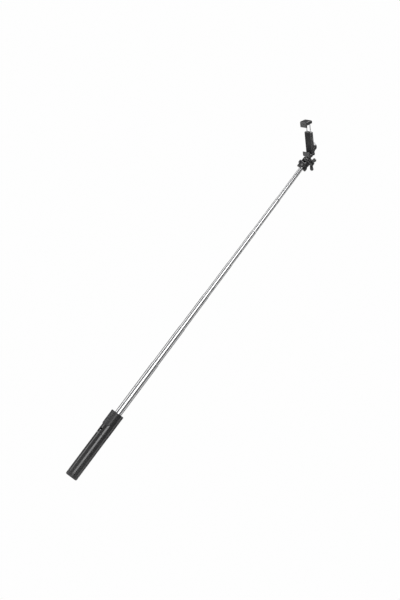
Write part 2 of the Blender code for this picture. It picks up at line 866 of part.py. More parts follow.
def make_swivel(clamp):
    washer = rod(
        "swivel_washer",
        "Y",
        0.0085,
        -GAP - SWIVEL_WASHER,
        -GAP,
        parent=clamp,
        steps=20,
    )
    cut(washer, rod("swivel_washer_hole", "Y", 0.0022, -0.02, 0.02, parent=clamp))
    finish(washer, "nylon_white")

    low = HOUSING_BACK - 0.0058
    seat = ARM_THICK - SWIVEL_HEAD_SINK + GAP
    top = ARM_THICK - GAP
    bolt = rod("swivel_screw", "Y", SWIVEL_BOLT_RADIUS, low, seat + 0.0005, parent=clamp)
    head = rod("swivel_screw_head", "Y", 0.0037, seat, top, parent=clamp, steps=20)
    slot = box("swivel_slot", (-0.0028, top - 0.0006, -0.0004), (0.0028, 0.02, 0.0004), clamp)
    finish(cut(join(bolt, head), slot), "zinc_steel")

    nut = rod(
        "swivel_nut",
        "Y",
        0.0034,
        HOUSING_BACK - HOUSING_WALL - GAP - 0.0030,
        HOUSING_BACK - HOUSING_WALL - GAP,
        parent=clamp,
        steps=6,
    )
    nut.rotation_euler = (0, radians(30), 0)
    cut(nut, rod("swivel_nut_hole", "Y", SWIVEL_BOLT_RADIUS + GAP / 3, -0.03, 0.0, parent=clamp))
    finish(nut, "zinc_steel")


# --- Phone clamp ----------------------------------------------------------------------------

HOUSING_WALL = 0.0020
HOUSING_DEPTH = 0.0094
HOUSING_TOP = 0.0400
HOUSING_FRONT = HOUSING_BACK - HOUSING_DEPTH
PAD_THICK = 0.0010
PHONE_ROOM = 0.0085
LOWER_JAW_THICK = 0.0055
UPPER_JAW_THICK = 0.0080
JAW_BACK_ROUND = 0.0030
JAW_FRONT_ROUND = 0.0035
LIP_THICK = 0.0030
LIP_RISE = 0.0055
PHONE_BACK = HOUSING_FRONT - PAD_THICK
LIP_BACK = PHONE_BACK - PHONE_ROOM
LIP_FRONT = LIP_BACK - LIP_THICK
COVER_THICK = 0.0016
ROD_OFFSET = 0.0054
CLIP_RADIUS = 0.0022
ROD_RADIUS = 0.0014
ROD_BOTTOM = 0.0060
COVER_SCREW_HEIGHTS = {"upper": HOUSING_TOP - 0.0070, "lower": LOWER_JAW + 0.0052}
COVER_SCREW_RADIUS = 0.0009
COVER_SCREW_HEAD = 0.0017
BOSS_RADIUS = 0.0020
SPRING_RADIUS = 0.0021
SPRING_WIRE = 0.0003
SPRING_TURNS = 9
SPRING_POINTS = 8


def hook_outline(base, thick, direction):
    """Side view of a jaw: a ledge along the phone's edge with a rounded lip in front of it.

    The points are (depth, height); the lip stands on the ledge in the given direction.
    """
    outer = base - direction * thick
    tip = base + direction * (PAD_THICK + LIP_RISE)
    back_centre = (HOUSING_BACK - JAW_BACK_ROUND, outer + direction * JAW_BACK_ROUND)
    front_centre = (LIP_FRONT + JAW_FRONT_ROUND, outer + direction * JAW_FRONT_ROUND)
    tip_centre = (LIP_FRONT + LIP_THICK / 2, tip - direction * LIP_THICK / 2)
    return (
        arc(back_centre, JAW_BACK_ROUND, 0, -90 * direction, 4)
        + arc(front_centre, JAW_FRONT_ROUND, -90 * direction, -180 * direction, 4)
        + arc(tip_centre, LIP_THICK / 2, 180 * direction, 0, 6)
        + [(LIP_BACK, base), (HOUSING_BACK, base)]
    )


def make_housing(clamp):
    """The clamp's spine with its fixed lower jaw: a tray that opens forwards."""
    half = CLAMP_WIDTH / 2
    floor = LOWER_JAW - PAD_THICK
    housing = box(
        "clamp_housing",
        (-half + 0.0002, HOUSING_FRONT, floor - 0.0030),
        (half - 0.0002, HOUSING_BACK - 0.0001, HOUSING_TOP),
        clamp,
    )
    bevel(housing, 0.0012, 2, 60)
    lower_hook = hook_outline(floor, LOWER_JAW_THICK, 1)
    jaw = prism("lower_jaw_form", lower_hook, "X", -half, half, clamp)
    bevel(jaw, 0.0008, 2, 60)
    tray = box(
        "housing_hollow",
        (-half + HOUSING_WALL, HOUSING_FRONT - 0.001, floor + HOUSING_WALL),
        (half - HOUSING_WALL, HOUSING_BACK - HOUSING_WALL, HOUSING_TOP - HOUSING_WALL),
        clamp,
    )
    screw_hole = rod("housing_swivel_hole", "Y", 0.0022, -0.012, 0.0, parent=clamp)
    cut(join(housing, jaw), tray, screw_hole)
    for name, height in COVER_SCREW_HEIGHTS.items():
        centre = (0, 0, height)
        boss_top = HOUSING_FRONT + COVER_THICK + GAP
        boss = rod(
            f"boss_{name}", "Y", BOSS_RADIUS, boss_top, HOUSING_BACK - 0.001, centre, clamp
        )
        pilot = rod(
            f"boss_hole_{name}",
            "Y",
            COVER_SCREW_RADIUS + GAP / 3,
            boss_top - 0.001,
            HOUSING_BACK - 0.0027,
            centre,
            clamp,
        )
        cut(join(housing, boss), pilot)
    for side in (-1, 1):
        centre = (side * ROD_OFFSET, HOUSING_BACK - HOUSING_DEPTH / 2, 0)
        hole = rod(
            f"housing_rod_hole_{side}",
            "Z",
            ROD_RADIUS + 0.00008,
            HOUSING_TOP - 0.01,
            HOUSING_TOP + 0.01,
            centre,
            clamp,
        )
        cut(housing, hole)
    finish(housing, "satin_black")

    cover = box(
        "clamp_front_cover",
        (-half + HOUSING_WALL + GAP, HOUSING_FRONT, floor + HOUSING_WALL + GAP),
        (
            half - HOUSING_WALL - GAP,
            HOUSING_FRONT + COVER_THICK,
            HOUSING_TOP - HOUSING_WALL - GAP,
        ),
        clamp,
    )
    for name, height in COVER_SCREW_HEIGHTS.items():
        centre = (0, 0, height)
        for kind, radius, end in (
            ("shank", COVER_SCREW_RADIUS + GAP / 3, 0.004),
            ("head", COVER_SCREW_HEAD + GAP / 3, 0.0010),
        ):
            hole = rod(
                f"cover_{kind}_hole_{name}",
                "Y",
                radius,
                HOUSING_FRONT - 0.001,
                HOUSING_FRONT + end,
                centre,
                clamp,
            )
            cut(cover, hole)
    finish(cover, "matte_black")

    pad = box(
        "clamp_back_pad",
        (-half + 0.002, PHONE_BACK, floor + PAD_THICK + 2 * GAP),
        (half - 0.002, HOUSING_FRONT - GAP / 2, HOUSING_TOP - 0.003),
        clamp,
    )
    finish(pad, "rubber_black")

    lower_pad = box(
        "lower_jaw_pad",
        (-half + 0.001, LIP_BACK + GAP, floor + GAP / 2),
        (half - 0.001, PHONE_BACK - GAP, LOWER_JAW),
        clamp,
    )
    finish(lower_pad, "rubber_black")


def make_upper_jaw(jaw_frame):
    half = CLAMP_WIDTH / 2
    roof = UPPER_JAW + PAD_THICK
    upper_hook = hook_outline(roof, UPPER_JAW_THICK, -1)
    jaw = prism("upper_jaw", upper_hook, "X", -half, half, jaw_frame)
    bevel(jaw, 0.0008, 2, 60)
    rod_top = roof + 0.0045
    for side in (-1, 1):
        centre = (side * ROD_OFFSET, HOUSING_BACK - HOUSING_DEPTH / 2, 0)
        hole = rod(
            f"jaw_rod_hole_{side}",
            "Z",
            ROD_RADIUS + GAP / 3,
            roof - 0.001,
            rod_top + GAP / 2,
            centre,
            jaw_frame,
        )
        cut(jaw, hole)
    finish(jaw, "satin_black")

    pad = box(
        "upper_jaw_pad",
        (-half + 0.001, LIP_BACK + GAP, UPPER_JAW),
        (half - 0.001, HOUSING_FRONT - GAP, roof - GAP / 2),
        jaw_frame,
    )
    finish(pad, "rubber_black")

    for name, side in (("left", -1), ("right", 1)):
        centre = (side * ROD_OFFSET, HOUSING_BACK - HOUSING_DEPTH / 2, 0)
        guide = rod(
            f"jaw_guide_rod_{name}", "Z", ROD_RADIUS, ROD_BOTTOM, rod_top, centre, jaw_frame
        )
        finish(guide, "zinc_steel")
        clip = rod(
            f"guide_rod_clip_{name}",
            "Z",
            CLIP_RADIUS,
            ROD_BOTTOM + 0.0008,
            ROD_BOTTOM + 0.0014,
            centre,
            jaw_frame,
        )
        clip_hole = rod(
            f"clip_hole_{name}",
            "Z",
            ROD_RADIUS + RUNNING,
            ROD_BOTTOM,
            ROD_BOTTOM + 0.003,
            centre,
            jaw_frame,
        )
        finish(cut(clip, clip_hole), "zinc_steel")


def make_springs(clamp):
    """A closing spring round each guide rod, between the rod's clip and the housing's roof."""
    low = ROD_BOTTOM + 0.0014 + SPRING_WIRE + GAP / 2
    high = HOUSING_TOP - HOUSING_WALL - SPRING_WIRE - GAP / 2
    for name, side in (("left", -1), ("right", 1)):
        curve = bpy.data.curves.new(f"clamp_spring_{name}", "CURVE")
        curve.dimensions = "3D"
        curve.bevel_depth = SPRING_WIRE
        curve.bevel_resolution = 2
        curve.use_fill_caps = True
        spline = curve.splines.new("POLY")
        count = SPRING_TURNS * SPRING_POINTS
        spline.points.add(count)
        for index, point in enumerate(spline.points):
            share = index / count
            angle = tau * SPRING_TURNS * share
            point.co = (
                side * ROD_OFFSET + SPRING_RADIUS * cos(angle),
                HOUSING_BACK - HOUSING_DEPTH / 2 + SPRING_RADIUS * sin(angle),
                low + (high - low) * share,
                1.0,
            )
        coil = add_object(f"clamp_spring_{name}", curve, None)
        mesh = mesh_of_curve(coil, f"clamp_spring_{name}")
        finish(add_object(f"clamp_spring_{name}", mesh, clamp), "zinc_steel")


def make_cover_screws(clamp):
    """Countersunk screws that hold the front cover to the housing's two bosses."""
    for name, height in COVER_SCREW_HEIGHTS.items():
        centre = (0, 0, height)
        shank = rod(
            f"cover_screw_{name}",
            "Y",
            COVER_SCREW_RADIUS,
            HOUSING_FRONT + 0.0003,
            HOUSING_BACK - 0.0030,
            centre,
            clamp,
        )
        head = rod(
            f"cover_screw_head_{name}",
            "Y",
            COVER_SCREW_HEAD,
            HOUSING_FRONT + 0.0001,
            HOUSING_FRONT + 0.0009,
            centre,
            clamp,
        )
        finish(join(shank, head), "zinc_steel")


# --- Assembly -------------------------------------------------------------------------------

make_hub()
make_pole_guides()
for leg_number in range(LEG_COUNT):
    make_leg(leg_number)
make_remote()
make_pole()

yoke_frame = frame("yoke_frame", None, (0, 0, TILT_AXIS_HEIGHT), (0, 0, HEAD_TURN))
tilt_frame = frame("tilt_frame", yoke_frame, (0, 0, 0), (ARM_TILT, 0, 0))
clamp_frame = frame("clamp_frame", tilt_frame, (0, 0, ARM_LENGTH), (0, CLAMP_TURN, 0))
jaw_slide_frame = frame("jaw_slide_frame", clamp_frame)

make_socket(yoke_frame)
make_tilt_bolt(yoke_frame)
make_knob(yoke_frame)
make_arm(tilt_frame)
make_swivel(clamp_frame)
make_housing(clamp_frame)
make_upper_jaw(jaw_slide_frame)
make_springs(clamp_frame)
make_cover_screws(clamp_frame)
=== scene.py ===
import json
from math import atan2, cos, pi, radians, sin, tau

import bmesh
import bpy
from mathutils import Matrix, Vector


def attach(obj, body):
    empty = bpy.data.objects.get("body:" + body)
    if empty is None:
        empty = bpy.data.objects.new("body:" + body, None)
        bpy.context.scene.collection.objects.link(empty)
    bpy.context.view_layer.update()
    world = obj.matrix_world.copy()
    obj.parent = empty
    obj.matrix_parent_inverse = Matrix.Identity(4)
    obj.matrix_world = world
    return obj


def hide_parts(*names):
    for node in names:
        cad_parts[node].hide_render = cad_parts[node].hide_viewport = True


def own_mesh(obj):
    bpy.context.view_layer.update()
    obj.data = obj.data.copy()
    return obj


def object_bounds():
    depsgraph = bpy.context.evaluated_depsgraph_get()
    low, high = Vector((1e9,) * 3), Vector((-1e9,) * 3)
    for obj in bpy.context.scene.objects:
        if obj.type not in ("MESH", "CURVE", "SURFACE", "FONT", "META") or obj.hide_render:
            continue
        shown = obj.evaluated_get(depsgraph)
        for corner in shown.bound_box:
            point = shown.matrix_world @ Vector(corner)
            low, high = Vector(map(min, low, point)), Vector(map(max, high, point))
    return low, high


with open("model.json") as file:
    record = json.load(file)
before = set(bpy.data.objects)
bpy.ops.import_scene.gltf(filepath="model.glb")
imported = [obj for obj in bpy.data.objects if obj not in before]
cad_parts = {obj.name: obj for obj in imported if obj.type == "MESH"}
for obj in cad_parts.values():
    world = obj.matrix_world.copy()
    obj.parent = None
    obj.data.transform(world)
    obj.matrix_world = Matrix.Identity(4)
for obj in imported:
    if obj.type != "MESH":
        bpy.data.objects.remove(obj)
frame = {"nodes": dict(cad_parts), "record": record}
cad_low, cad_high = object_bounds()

scene = bpy.context.scene
record = frame["record"]
joints = {joint["name"]: joint for joint in record["behaviour"]["joints"]}
MM = 0.001
CLEAR = 0.15 * MM
FAR = 20 * MM
PIN_RADIUS = 1.1 * MM
PIN_HOLE = 1.2 * MM

# --- Frames of the moving groups, from the record's joints ------------------------------------


def columns(x, y, z, origin):
    matrix = Matrix((x, y, z)).transposed().to_4x4()
    matrix.translation = origin
    return matrix


TILT_POINT = Vector(joints["head_tilt"]["pos_m"])
TILT_AXIS = Vector(joints["head_tilt"]["axis"]).normalized()
SWIVEL_POINT = Vector(joints["clamp_swivel"]["pos_m"])
SWIVEL_AXIS = Vector(joints["clamp_swivel"]["axis"]).normalized()
JAW_AXIS = Vector(joints["jaw_slide"]["axis"]).normalized()
UP = Vector((0, 0, 1))

POLE = Matrix.Identity(4)
YOKE = columns(TILT_AXIS, UP.cross(TILT_AXIS), UP, TILT_POINT)
ARM = columns(TILT_AXIS, -SWIVEL_AXIS, TILT_AXIS.cross(-SWIVEL_AXIS), TILT_POINT)
CLAMP = columns((-SWIVEL_AXIS).cross(JAW_AXIS), -SWIVEL_AXIS, JAW_AXIS, SWIVEL_POINT)
LEG_NAMES = ("leg_a", "leg_b", "leg_c")
LEG_TURNS = []
for leg_name in LEG_NAMES:
    hinge = joints[leg_name + "_spread"]["pos_m"]
    LEG_TURNS.append(Matrix.Rotation(atan2(hinge[1], hinge[0]), 4, "Z"))


def extent(node, matrix=POLE):
    """Lowest and highest corner of a CAD node in a group's own frame."""
    back = matrix.inverted()
    points = [back @ v.co for v in frame["nodes"][node].data.vertices]
    low = Vector([min(p[k] for p in points) for k in range(3)])
    high = Vector([max(p[k] for p in points) for k in range(3)])
    return low, high


# --- Materials --------------------------------------------------------------------------------


class Graph:
    """A short hand for building one material's nodes."""

    def __init__(self, name):
        self.material = bpy.data.materials.new(name)
        self.material.use_nodes = True
        self.tree = self.material.node_tree
        self.shader = self.tree.nodes["Principled BSDF"]
        self.place = self.add("ShaderNodeTexCoord").outputs["Object"]

    def add(self, kind, **settings):
        node = self.tree.nodes.new(kind)
        for key, value in settings.items():
            setattr(node, key, value)
        return node

    def link(self, source, target):
        self.tree.links.new(source, target)

    def noise(self, scale, detail=4.0, stretch=None, roughness=0.55):
        node = self.add("ShaderNodeTexNoise")
        node.inputs["Scale"].default_value = scale
        node.inputs["Detail"].default_value = detail
        node.inputs["Roughness"].default_value = roughness
        source = self.place
        if stretch:
            mapping = self.add("ShaderNodeMapping")
            mapping.inputs["Scale"].default_value = stretch
            self.link(source, mapping.inputs["Vector"])
            source = mapping.outputs["Vector"]
        self.link(source, node.inputs["Vector"])
        return node.outputs["Fac"]

    def spots(self, scale):
        node = self.add("ShaderNodeTexVoronoi", feature="F1")
        node.inputs["Scale"].default_value = scale
        self.link(self.place, node.inputs["Vector"])
        return node.outputs["Distance"]

    def span(self, source, low, high, from_low=0.3, from_high=0.7):
        node = self.add("ShaderNodeMapRange")
        node.inputs["From Min"].default_value = from_low
        node.inputs["From Max"].default_value = from_high
        node.inputs["To Min"].default_value = low
        node.inputs["To Max"].default_value = high
        self.link(source, node.inputs["Value"])
        return node.outputs["Result"]

    def sum(self, first, second, operation="ADD"):
        node = self.add("ShaderNodeMath", operation=operation)
        self.link(first, node.inputs[0])
        self.link(second, node.inputs[1])
        return node.outputs[0]

    def edges(self, low=0.57, high=0.72):
        """Light along worn outer edges, broken up by noise."""
        geometry = self.add("ShaderNodeNewGeometry")
        worn = self.span(geometry.outputs["Pointiness"], 0.0, 1.0, low, high)
        patchy = self.span(self.noise(260.0, 3.0), 0.15, 1.0, 0.35, 0.65)
        return self.sum(worn, patchy, "MULTIPLY")

    def mix(self, factor, first, second):
        node = self.add("ShaderNodeMix", data_type="RGBA")
        self.link(factor, node.inputs["Factor"])
        colours = [s for s in node.inputs if s.type == "RGBA"]
        for socket, value in zip(colours, (first, second)):
            if isinstance(value, tuple):
                socket.default_value = (*value, 1.0)
            else:
                self.link(value, socket)
        return [s for s in node.outputs if s.type == "RGBA"][0]

    def bump(self, source, distance, strength=1.0, below=None):
        node = self.add("ShaderNodeBump")
        node.inputs["Strength"].default_value = strength
        node.inputs["Distance"].default_value = distance
        self.link(source, node.inputs["Height"])
        if below:
            self.link(below, node.inputs["Normal"])
        return node.outputs["Normal"]

    def finish(self, colour=None, roughness=None, normal=None, **constants):
        for socket, value in (("Base Color", colour), ("Roughness", roughness), ("Normal", normal)):
            if value is None:
                continue
            if isinstance(value, tuple):
                self.shader.inputs[socket].default_value = (*value, 1.0)
            else:
                self.link(value, self.shader.inputs[socket])
        for key, value in constants.items():
            self.shader.inputs[key.replace("_", " ")].default_value = value
        return self.material


def plastic(name, dark, light, worn, rough, grain, depth, wear=0.5, shine=0.5):
    """Moulded plastic: faint cloudy colour, a spark-eroded grain, rubbed edges."""
    g = Graph(name)
    cloud = g.span(g.noise(45.0, 3.0), 0.0, 1.0)
    body = g.mix(cloud, dark, light)
    edge = g.span(g.edges(), 0.0, wear, 0.0, 1.0)
    colour = g.mix(edge, body, worn)
    smudge = g.span(g.noise(90.0, 5.0), rough - 0.03, rough + 0.05)
    fine = g.span(g.noise(1500.0, 2.0), -0.02, 0.02)
    normal = g.bump(g.noise(grain, 3.0), depth, 0.5)
    return g.finish(colour, g.sum(smudge, fine), normal, Specular_IOR_Level=shine)


def rubber(name, smooth, rough_high, shine):
    g = Graph(name)
    dust = g.span(g.noise(120.0, 6.0), 0.0, 1.0, 0.45, 0.75)
    colour = g.mix(dust, (0.016, 0.016, 0.017), (0.034, 0.033, 0.032))
    rough = g.span(g.noise(300.0), smooth, rough_high)
    depth = 0.00008 * smooth
    pebble = g.bump(g.spots(1800.0), depth, 0.5)
    normal = g.bump(g.noise(2600.0, 3.0), depth / 2, 0.5, pebble)
    return g.finish(colour, rough, normal, Specular_IOR_Level=shine)


def polished_tube(name):
    """Chromed steel tube: lengthwise drawing lines, fine rub marks, faint breath marks."""
    g = Graph(name)
    cloud = g.span(g.noise(30.0, 4.0), 0.0, 1.0)
    colour = g.mix(cloud, (0.74, 0.745, 0.755), (0.82, 0.82, 0.825))
    lines = g.noise(900.0, 3.0, (1.0, 1.0, 0.012))
    rough = g.sum(g.span(g.noise(60.0, 5.0), 0.11, 0.16), g.span(lines, -0.01, 0.02))
    normal = g.bump(lines, 0.000001, 0.2)
    return g.finish(colour, rough, normal, Metallic=1.0)


def plated(name, dark, light, low, high):
    g = Graph(name)
    cloud = g.span(g.noise(200.0, 4.0), 0.0, 1.0)
    edge = g.span(g.edges(), 0.0, 0.6, 0.0, 1.0)
    colour = g.mix(edge, g.mix(cloud, dark, light), tuple(min(1.0, c * 1.25) for c in light))
    rough = g.span(g.noise(500.0, 5.0), low, high)
    normal = g.bump(g.noise(2200.0, 3.0, (1.0, 1.0, 0.3)), 0.00002, 0.5)
    return g.finish(colour, rough, normal, Metallic=1.0)


def nylon(name):
    g = Graph(name)
    cloud = g.span(g.noise(150.0), 0.0, 1.0)
    colour = g.mix(cloud, (0.72, 0.71, 0.66), (0.80, 0.79, 0.75))
    rough = g.span(g.noise(400.0), 0.42, 0.58)
    normal = g.bump(g.noise(1800.0), 0.00002, 0.4)
    return g.finish(colour, rough, normal)


def board(name):
    g = Graph(name)
    tracks = g.add("ShaderNodeTexBrick")
    tracks.inputs["Scale"].default_value = 400.0
    g.link(g.place, tracks.inputs["Vector"])
    colour = g.mix(tracks.outputs["Fac"], (0.02, 0.13, 0.05), (0.04, 0.20, 0.09))
    rough = g.span(g.noise(300.0), 0.35, 0.5)
    return g.finish(colour, rough, g.bump(tracks.outputs["Fac"], 0.00003, 0.5))


MATERIALS = {
    "handle_plastic": plastic(
        "handle_plastic", (0.006, 0.006, 0.0065), (0.010, 0.010, 0.0105), (0.05, 0.05, 0.052),
        0.17, 2600.0, 0.000002, 0.4, 1.0,
    ),
    "head_plastic": plastic(
        "head_plastic", (0.007, 0.007, 0.008), (0.012, 0.012, 0.013), (0.07, 0.07, 0.07),
        0.28, 1900.0, 0.000006, 0.5, 0.9,
    ),
    "inner_plastic": plastic(
        "inner_plastic", (0.016, 0.016, 0.017), (0.026, 0.026, 0.027), (0.05, 0.05, 0.05),
        0.50, 1700.0, 0.00002, 0.3,
    ),
    "remote_plastic": plastic(
        "remote_plastic", (0.012, 0.012, 0.013), (0.018, 0.018, 0.019), (0.09, 0.09, 0.09),
        0.40, 2000.0, 0.000006, 0.4, 0.7,
    ),
    "rubber": rubber("rubber", 0.72, 0.92, 0.35),
    "tube_steel": polished_tube("tube_steel"),
    "hardware_steel": plated(
        "hardware_steel", (0.52, 0.525, 0.54), (0.66, 0.66, 0.67), 0.22, 0.38
    ),
    "nylon": nylon("nylon"),
    "brass": plated("brass", (0.66, 0.46, 0.19), (0.78, 0.57, 0.26), 0.22, 0.36),
    "circuit_board": board("circuit_board"),
}
FOOT_RUBBER = rubber("foot_rubber", 0.34, 0.46, 0.7)
SLOT_OF = {entry["node"]: entry["material_slot"] for entry in record["subparts"]}
BODY_OF = {n: b for b, names in record["behaviour"]["bodies"].items() for n in names}

for node, piece in frame["nodes"].items():
    piece.data.materials.clear()
    piece.data.materials.append(MATERIALS[SLOT_OF[node]])


# --- Shapes -----------------------------------------------------------------------------------


def arc(centre, radius, start, end, steps):
    points = []
    for step in range(steps + 1):
        angle = radians(start + (end - start) * step / steps)
        points.append((centre[0] + radius * cos(angle), centre[1] + radius * sin(angle)))
    return points


def new_object(name, mesh, matrix=POLE):
    mesh.transform(matrix)
    piece = bpy.data.objects.new(name, mesh)
    scene.collection.objects.link(piece)
    return piece


def from_bmesh(name, bm, matrix=POLE):
    bmesh.ops.recalc_face_normals(bm, faces=bm.faces)
    mesh = bpy.data.meshes.new(name)
    bm.to_mesh(mesh)
    bm.free()
    return new_object(name, mesh, matrix)


def turned(name, profile, steps=96, matrix=POLE, axis="Z"):
    """A solid of revolution from a closed (radius, height) outline."""
    bm = bmesh.new()
    rows = []
    for radius, height in profile:
        if radius < 1e-7:
            rows.append([bm.verts.new((0, 0, height))] * steps)
            continue
        rows.append(
            [
                bm.verts.new((radius * cos(tau * k / steps), radius * sin(tau * k / steps), height))
                for k in range(steps)
            ]
        )
    for row, following in zip(rows, rows[1:] + rows[:1]):
        for k in range(steps):
            corners = [row[k], row[(k + 1) % steps], following[(k + 1) % steps], following[k]]
            unique = list(dict.fromkeys(corners))
            if len(unique) > 2:
                bm.faces.new(unique)
    if axis == "X":
        matrix = matrix @ Matrix.Rotation(pi / 2, 4, "Y")
    if axis == "Y":
        matrix = matrix @ Matrix.Rotation(-pi / 2, 4, "X")
    return from_bmesh(name, bm, matrix)


def rod(name, radius, low, high, matrix=POLE, axis="Z", centre=(0, 0, 0), steps=48, edge=0.0):
    """A cylinder along an axis from low to high, with rounded rims if edge is given."""
    if edge:
        profile = (
            [(0, low)]
            + arc((radius - edge, low + edge), edge, -90, 0, 3)
            + arc((radius - edge, high - edge), edge, 0, 90, 3)
            + [(0, high)]
        )
    else:
        profile = [(0, low), (radius, low), (radius, high), (0, high)]
    return turned(name, profile, steps, matrix @ Matrix.Translation(centre), axis)


def prism(name, outline, low, high, matrix=POLE, axis="Z"):
    """A flat outline pulled out along an axis. Y takes (x, z) points and X takes (y, z) points."""
    place = {
        "Z": lambda p, h: (p[0], p[1], h),
        "Y": lambda p, h: (p[0], h, p[1]),
        "X": lambda p, h: (h, p[0], p[1]),
    }[axis]
    bm = bmesh.new()
    lower = [bm.verts.new(place(p, low)) for p in outline]
    upper = [bm.verts.new(place(p, high)) for p in outline]
    bm.faces.new(lower)
    bm.faces.new(upper)
    for k in range(len(outline)):
        n = (k + 1) % len(outline)
        bm.faces.new((lower[k], lower[n], upper[n], upper[k]))
    return from_bmesh(name, bm, matrix)


def block(name, low, high, matrix=POLE):
    outline = [(low[0], low[1]), (high[0], low[1]), (high[0], high[1]), (low[0], high[1])]
    return prism(name, outline, low[2], high[2], matrix)


def apply_modifiers(piece):
    graph = bpy.context.evaluated_depsgraph_get()
    mesh = bpy.data.meshes.new_from_object(piece.evaluated_get(graph))
    old = piece.data
    piece.modifiers.clear()
    piece.data = mesh
    bpy.data.meshes.remove(old)
    return piece


def combine(piece, operation, *others):
    for other in others:
        modifier = piece.modifiers.new("solid", "BOOLEAN")
        modifier.operation = operation
        modifier.solver = "EXACT"
        modifier.object = other
        apply_modifiers(piece)
        bpy.data.objects.remove(other, do_unlink=True)
    return piece


def cut(piece, *others):
    return combine(piece, "DIFFERENCE", *others)


def join(piece, *others):
    return combine(piece, "UNION", *others)


def bevel(piece, width, segments=3, angle=35):
    modifier = piece.modifiers.new("edge", "BEVEL")
    modifier.width = width
    modifier.segments = segments
    modifier.limit_method = "ANGLE"
    modifier.angle_limit = radians(angle)
    modifier.use_clamp_overlap = True
    return apply_modifiers(piece)


def finish(piece, node, smooth=32, slot=None, replace=True, material=None):
    """Gives a piece its material, lets it ride and hides the CAD node that it stands for."""
    slot = slot or SLOT_OF[node]
    piece.data.materials.clear()
    piece.data.materials.append(material or MATERIALS[slot])
    piece.data.shade_smooth()
    piece.data.set_sharp_from_angle(angle=radians(smooth))
    shading = piece.modifiers.new("shading", "WEIGHTED_NORMAL")
    shading.keep_sharp = True
    shading.weight = 100
    apply_modifiers(piece)
    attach(piece, BODY_OF[node])
    if replace:
        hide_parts(node)
    return piece


def sector(inner, outer, half_angle, steps):
    return arc((0, 0), outer, -half_angle, half_angle, steps) + arc(
        (0, 0), inner, half_angle, -half_angle, steps
    )


# --- Pole: thin polished tubes with a rolled lip ----------------------------------------------

TUBE_STEPS = 112
tube_names = sorted(n for n in frame["nodes"] if n.startswith("pole_tube_"))
tube_boxes = [extent(n) for n in tube_names]
for number, (low, high) in enumerate(tube_boxes):
    outer = high.x
    wall = 0.25 * MM
    bottom, top = low.z, high.z
    if number + 1 < len(tube_boxes):
        inner = tube_boxes[number + 1][1].x + 0.02 * MM
        neck = outer - 0.16 * MM
        profile = (
            [(outer - wall, bottom), (outer, bottom + 0.1 * MM)]
            + [(outer, top - 3.4 * MM), (outer - 0.03 * MM, top - 3.1 * MM)]
            + [(neck, top - 2.5 * MM), (neck, top - 1.5 * MM)]
            + arc((outer - 0.45 * MM, top - 0.55 * MM), 0.45 * MM, -60, 90, 9)
            + [(inner + 0.10 * MM, top), (inner, top - 0.15 * MM), (inner, top - 0.8 * MM)]
            + [(outer - wall, top - 1.6 * MM)]
        )
    else:
        profile = [
            (outer - wall, bottom),
            (outer, bottom + 0.1 * MM),
            (outer, top),
            (outer - wall, top),
        ]
    finish(turned(tube_names[number], profile, TUBE_STEPS), tube_names[number])

# --- Handle hub -------------------------------------------------------------------------------

hub_low, hub_high = extent("hub_body")
HUB_R = hub_high.x
HUB_TOP, HUB_FLOOR = hub_high.z, hub_low.z
bush_low, bush_high = extent("hub_bush")
REMOTE_TURN = LEG_TURNS[0]
remote_low, remote_high = extent("remote_casing", REMOTE_TURN)
PANEL_R = 18.0 * MM
PANEL_BACK = 14.6 * MM
CORNER_R = 8.5 * MM
BELLY_FLOOR = extent("remote_back_cover", REMOTE_TURN)[0].z - 1.65 * MM


def shield(grow, top):
    """The remote's front outline: flat on top, two large round lower corners."""
    half = remote_high.y + grow
    base = remote_low.z - grow
    radius = CORNER_R + grow
    right = arc((half - radius, base + radius), radius, 0, -90, 14)
    left = arc((radius - half, base + radius), radius, -90, -180, 14)
    return [(half, top)] + right + left + [(-half, top)]


def panel(name, grow, inner, outer, top):
    slab = prism(name, sector(inner, outer, 62, 64), remote_low.z - 3 * MM, top, REMOTE_TURN)
    form = prism(name + "_form", shield(grow, top), 0.0, 0.03, REMOTE_TURN, "X")
    return combine(slab, "INTERSECT", form)


